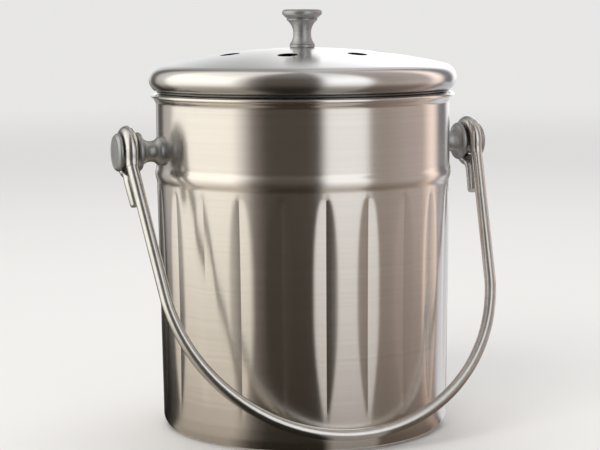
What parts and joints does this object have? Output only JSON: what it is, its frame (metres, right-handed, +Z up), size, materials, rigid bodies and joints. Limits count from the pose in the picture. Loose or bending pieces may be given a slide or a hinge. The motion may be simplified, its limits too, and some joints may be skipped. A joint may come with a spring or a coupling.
{
  "type": "compost caddy",
  "caption": "Round fluted steel countertop caddy with a lift-off vented dome lid, filter pad, knob and swinging wire bail.",
  "frame": {"origin": "on the floor at the can's axis, centre of the foot ring", "axes": "+Z up along the can's axis, +X along the lugs' axis to the right lug, -Y towards the side where the bail hangs"},
  "size_m": [0.1854, 0.1472, 0.199],
  "materials": {
    "brushed_can": "fine horizontal brushing",
    "brushed_lid": "fine circular brushing",
    "cast_metal": "satin die-cast",
    "wire": "satin drawn wire",
    "pressed_steel": "plain",
    "screw_steel": "turned",
    "grille_plastic": "fine grain",
    "carbon_pad": "open foam"
  },
  "bodies": {
    "pail": {"pail_body": "brushed_can", "left_lug": "cast_metal", "right_lug": "cast_metal", "left_lug_washer": "screw_steel", "right_lug_washer": "screw_steel", "left_lug_screw": "screw_steel", "right_lug_screw": "screw_steel"},
    "bail": {"bail_handle": "wire"},
    "lid": {"lid_shell": "brushed_lid", "lid_liner": "pressed_steel", "lid_knob": "cast_metal", "knob_washer": "screw_steel", "knob_screw": "screw_steel"},
    "retainer": {"filter_retainer": "grille_plastic", "charcoal_filter": "carbon_pad"}
  },
  "joints": [
    {"name": "bail_swing", "type": "hinge", "parent": "pail", "child": "bail", "pos_m": [0, 0, 0.1338], "axis": [-1, 0, 0], "range_deg": [0, 300]},
    {"name": "lid_lift", "type": "slide", "parent": "pail", "child": "lid", "axis": [0, 0, 1], "range_m": [0, 0.12]},
    {"name": "retainer_twist", "type": "hinge", "parent": "lid", "child": "retainer", "pos_m": [0, 0, 0.152], "axis": [0, 0, 1], "range_deg": [0, 60]}
  ]
}
